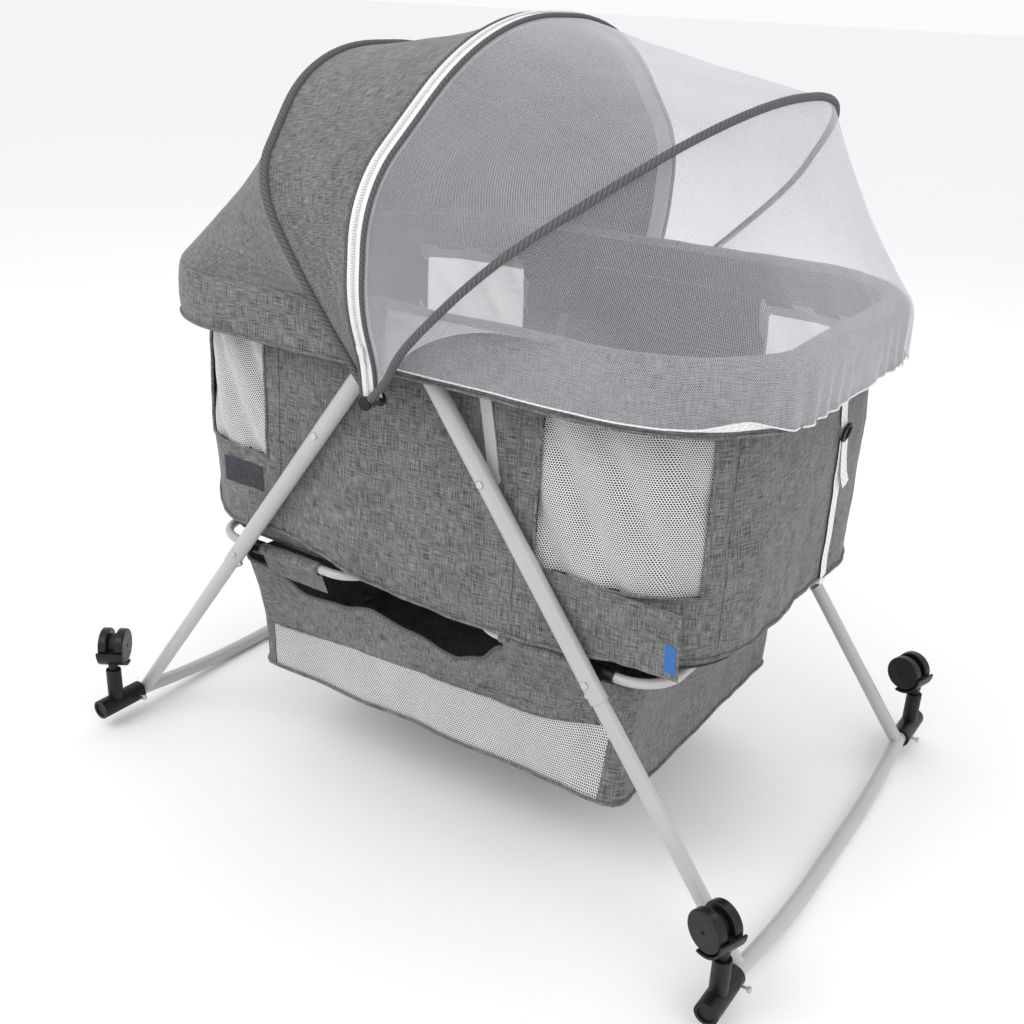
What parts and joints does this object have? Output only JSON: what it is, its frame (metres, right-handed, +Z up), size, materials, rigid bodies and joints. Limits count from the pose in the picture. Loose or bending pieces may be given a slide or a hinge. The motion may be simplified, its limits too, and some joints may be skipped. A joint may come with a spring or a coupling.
{
  "type": "bassinet on stand",
  "caption": "Folding rocking bassinet: padded-rim fabric tub on crossed tube legs with curved rocker bars, flip-up casters, zip canopy with insect net and storage basket.",
  "frame": {"origin": "on the floor under the middle of the bassinet", "axes": "+X towards the foot end, +Y towards the side away from the basket mouth, +Z up"},
  "size_m": [1.0384, 0.745, 0.9971],
  "materials": {
    "frame_paint": "warm light grey powder coat on steel tube",
    "bow_wire": "black coated spring wire",
    "rivet_steel": "bright zinc plated steel",
    "black_plastic": "fine textured black moulded plastic",
    "wheel_plastic": "smooth black moulded plastic",
    "grey_melange": "grey melange linen-look polyester weave",
    "white_mesh": "white knitted air mesh",
    "insect_net": "sheer white netting",
    "inner_lining": "plain grey lining cloth",
    "white_webbing": "flat woven white webbing",
    "board": "thin hardboard"
  },
  "bodies": {
    "hub": {"hub_plates_near": "frame_paint", "hub_plates_far": "frame_paint", "hub_rivets": "rivet_steel", "tub_shell": "grey_melange", "mesh_windows": "white_mesh", "mattress": "inner_lining", "foot_strap": "white_webbing", "basket": "grey_melange"},
    "head_legs": {"head_leg_near": "frame_paint", "head_leg_far": "frame_paint", "head_rocker_frame": "frame_paint", "head_brace_strips": "frame_paint", "head_leg_rivets": "rivet_steel"},
    "head_ring": {"head_support_ring": "frame_paint", "head_ring_clamps": "black_plastic", "head_floor_board": "board"},
    "head_rim": {"head_rim_tube": "frame_paint", "head_rim_cover": "grey_melange", "canopy_hinges": "black_plastic", "rear_hood": "grey_melange"},
    "foot_legs": {"foot_leg_near": "frame_paint", "foot_leg_far": "frame_paint", "foot_rocker_frame": "frame_paint", "foot_brace_strips": "frame_paint", "foot_leg_rivets": "rivet_steel"},
    "foot_ring": {"foot_support_ring": "frame_paint", "foot_ring_clamps": "black_plastic", "foot_floor_board": "board"},
    "foot_rim": {"foot_rim_tube": "frame_paint", "foot_rim_cover": "grey_melange"},
    "rear_bow": {"rear_bow": "bow_wire", "front_hood": "grey_melange"},
    "zip_bow": {"zip_bow": "bow_wire", "rear_net": "insect_net"},
    "net_bow": {"net_bow": "bow_wire", "front_net": "insect_net"},
    "zip_slider": {"zip_slider": "rivet_steel"},
    "head_near_sleeve": {"head_near_caster_sleeve": "black_plastic"},
    "head_near_pin": {"head_near_caster_pin": "rivet_steel"},
    "head_near_fork": {"head_near_caster_fork": "black_plastic"},
    "head_near_wheels": {"head_near_caster_wheels": "wheel_plastic"},
    "head_near_button": {"head_near_leg_button": "rivet_steel"},
    "head_far_sleeve": {"head_far_caster_sleeve": "black_plastic"},
    "head_far_pin": {"head_far_caster_pin": "rivet_steel"},
    "head_far_fork": {"head_far_caster_fork": "black_plastic"},
    "head_far_wheels": {"head_far_caster_wheels": "wheel_plastic"},
    "head_far_button": {"head_far_leg_button": "rivet_steel"},
    "foot_near_sleeve": {"foot_near_caster_sleeve": "black_plastic"},
    "foot_near_pin": {"foot_near_caster_pin": "rivet_steel"},
    "foot_near_fork": {"foot_near_caster_fork": "black_plastic"},
    "foot_near_wheels": {"foot_near_caster_wheels": "wheel_plastic"},
    "foot_near_button": {"foot_near_leg_button": "rivet_steel"},
    "foot_far_sleeve": {"foot_far_caster_sleeve": "black_plastic"},
    "foot_far_pin": {"foot_far_caster_pin": "rivet_steel"},
    "foot_far_fork": {"foot_far_caster_fork": "black_plastic"},
    "foot_far_wheels": {"foot_far_caster_wheels": "wheel_plastic"},
    "foot_far_button": {"foot_far_leg_button": "rivet_steel"}
  },
  "joints": [
    {"name": "head_legs_fold", "type": "hinge", "parent": "hub", "child": "head_legs", "pos_m": [-0.025, 0, 0.65], "axis": [0, -1, 0], "range_deg": [0, 30], "deforming": ["tub_shell", "mesh_windows", "mattress", "foot_strap", "basket", "head_rim_cover", "foot_rim_cover"]},
    {"name": "foot_legs_fold", "type": "hinge", "parent": "hub", "child": "foot_legs", "pos_m": [0.025, 0, 0.65], "axis": [0, 1, 0], "range_deg": [0, 30]},
    {"name": "head_rim_fold", "type": "hinge", "parent": "hub", "child": "head_rim", "pos_m": [-0.06, 0, 0.672], "axis": [0, -1, 0], "range_deg": [0, 75]},
    {"name": "head_ring_fold", "type": "hinge", "parent": "head_legs", "child": "head_ring", "pos_m": [-0.27077, 0, 0.32], "axis": [0, 1, 0], "range_deg": [0, 120]},
    {"name": "foot_rim_fold", "type": "hinge", "parent": "hub", "child": "foot_rim", "pos_m": [0.06, 0, 0.672], "axis": [0, 1, 0], "range_deg": [0, 75]},
    {"name": "foot_ring_fold", "type": "hinge", "parent": "foot_legs", "child": "foot_ring", "pos_m": [0.27077, 0, 0.32], "axis": [0, -1, 0], "range_deg": [0, 120]},
    {"name": "rear_bow_swing", "type": "hinge", "parent": "head_rim", "child": "rear_bow", "pos_m": [-0.015, 0, 0.592], "axis": [0, 1, 0], "range_deg": [-36, 0], "deforming": ["rear_hood"]},
    {"name": "zip_bow_swing", "type": "hinge", "parent": "rear_bow", "child": "zip_bow", "pos_m": [-0.015, 0, 0.592], "axis": [0, 1, 0], "range_deg": [-29, 0], "deforming": ["front_hood"]},
    {"name": "net_bow_swing", "type": "hinge", "parent": "zip_bow", "child": "net_bow", "pos_m": [-0.015, 0, 0.592], "axis": [0, 1, 0], "range_deg": [-34, 0], "deforming": ["rear_net", "front_net"]},
    {"name": "zip_slider_pull", "type": "slide", "parent": "zip_bow", "child": "zip_slider", "axis": [0.052, -0.3644, 0.9298], "range_m": [0, 0.035]},
    {"name": "head_near_caster_flip", "type": "hinge", "parent": "head_legs", "child": "head_near_sleeve", "pos_m": [-0.486, -0.335, 0.031], "axis": [0, -1, 0], "range_deg": [0, 180]},
    {"name": "head_near_caster_swivel", "type": "hinge", "parent": "head_near_sleeve", "child": "head_near_fork", "pos_m": [-0.486, -0.335, 0.118], "axis": [0, 0, 1], "continuous": true},
    {"name": "head_near_wheel_spin", "type": "hinge", "parent": "head_near_fork", "child": "head_near_wheels", "pos_m": [-0.49471, -0.32158, 0.118], "axis": [0.8387, 0.5446, 0], "continuous": true},
    {"name": "head_near_pin_pull", "type": "slide", "parent": "head_near_sleeve", "child": "head_near_pin", "axis": [1, 0, 0], "range_m": [0, 0.005], "stiffness_N_per_m": 300, "springref_m": -0.004},
    {"name": "head_near_button_press", "type": "slide", "parent": "head_legs", "child": "head_near_button", "axis": [-0.802, 0, 0.5973], "range_m": [0, 0.0026], "stiffness_N_per_m": 400, "springref_m": -0.004},
    {"name": "head_far_caster_flip", "type": "hinge", "parent": "head_legs", "child": "head_far_sleeve", "pos_m": [-0.486, 0.335, 0.031], "axis": [0, -1, 0], "range_deg": [0, 180]},
    {"name": "head_far_caster_swivel", "type": "hinge", "parent": "head_far_sleeve", "child": "head_far_fork", "pos_m": [-0.486, 0.335, 0.118], "axis": [0, 0, 1], "continuous": true},
    {"name": "head_far_wheel_spin", "type": "hinge", "parent": "head_far_fork", "child": "head_far_wheels", "pos_m": [-0.502, 0.335, 0.118], "axis": [0, 1, 0], "continuous": true},
    {"name": "head_far_pin_pull", "type": "slide", "parent": "head_far_sleeve", "child": "head_far_pin", "axis": [1, 0, 0], "range_m": [0, 0.005], "stiffness_N_per_m": 300, "springref_m": -0.004},
    {"name": "head_far_button_press", "type": "slide", "parent": "head_legs", "child": "head_far_button", "axis": [-0.802, 0, 0.5973], "range_m": [0, 0.0026], "stiffness_N_per_m": 400, "springref_m": -0.004},
    {"name": "foot_near_caster_flip", "type": "hinge", "parent": "foot_legs", "child": "foot_near_sleeve", "pos_m": [0.486, -0.335, 0.031], "axis": [0, 1, 0], "range_deg": [0, 180]},
    {"name": "foot_near_caster_swivel", "type": "hinge", "parent": "foot_near_sleeve", "child": "foot_near_fork", "pos_m": [0.486, -0.335, 0.118], "axis": [0, 0, 1], "continuous": true},
    {"name": "foot_near_wheel_spin", "type": "hinge", "parent": "foot_near_fork", "child": "foot_near_wheels", "pos_m": [0.47097, -0.32953, 0.118], "axis": [0.342, 0.9397, 0], "continuous": true},
    {"name": "foot_near_pin_pull", "type": "slide", "parent": "foot_near_sleeve", "child": "foot_near_pin", "axis": [1, 0, 0], "range_m": [0, 0.005], "stiffness_N_per_m": 300, "springref_m": -0.004},
    {"name": "foot_near_button_press", "type": "slide", "parent": "foot_legs", "child": "foot_near_button", "axis": [0.802, 0, 0.5973], "range_m": [0, 0.0026], "stiffness_N_per_m": 400, "springref_m": -0.004},
    {"name": "foot_far_caster_flip", "type": "hinge", "parent": "foot_legs", "child": "foot_far_sleeve", "pos_m": [0.486, 0.335, 0.031], "axis": [0, 1, 0], "range_deg": [0, 180]},
    {"name": "foot_far_caster_swivel", "type": "hinge", "parent": "foot_far_sleeve", "child": "foot_far_fork", "pos_m": [0.486, 0.335, 0.118], "axis": [0, 0, 1], "continuous": true},
    {"name": "foot_far_wheel_spin", "type": "hinge", "parent": "foot_far_fork", "child": "foot_far_wheels", "pos_m": [0.47054, 0.33914, 0.118], "axis": [0.2588, 0.9659, 0], "continuous": true},
    {"name": "foot_far_pin_pull", "type": "slide", "parent": "foot_far_sleeve", "child": "foot_far_pin", "axis": [1, 0, 0], "range_m": [0, 0.005], "stiffness_N_per_m": 300, "springref_m": -0.004},
    {"name": "foot_far_button_press", "type": "slide", "parent": "foot_legs", "child": "foot_far_button", "axis": [0.802, 0, 0.5973], "range_m": [0, 0.0026], "stiffness_N_per_m": 400, "springref_m": -0.004}
  ],
  "couplings": [
    {"joint": "foot_legs_fold", "follows": "head_legs_fold", "ratio": 1},
    {"joint": "head_rim_fold", "follows": "head_legs_fold", "ratio": 2.5},
    {"joint": "head_ring_fold", "follows": "head_legs_fold", "ratio": 4},
    {"joint": "foot_rim_fold", "follows": "head_legs_fold", "ratio": 2.5},
    {"joint": "foot_ring_fold", "follows": "head_legs_fold", "ratio": 4}
  ]
}
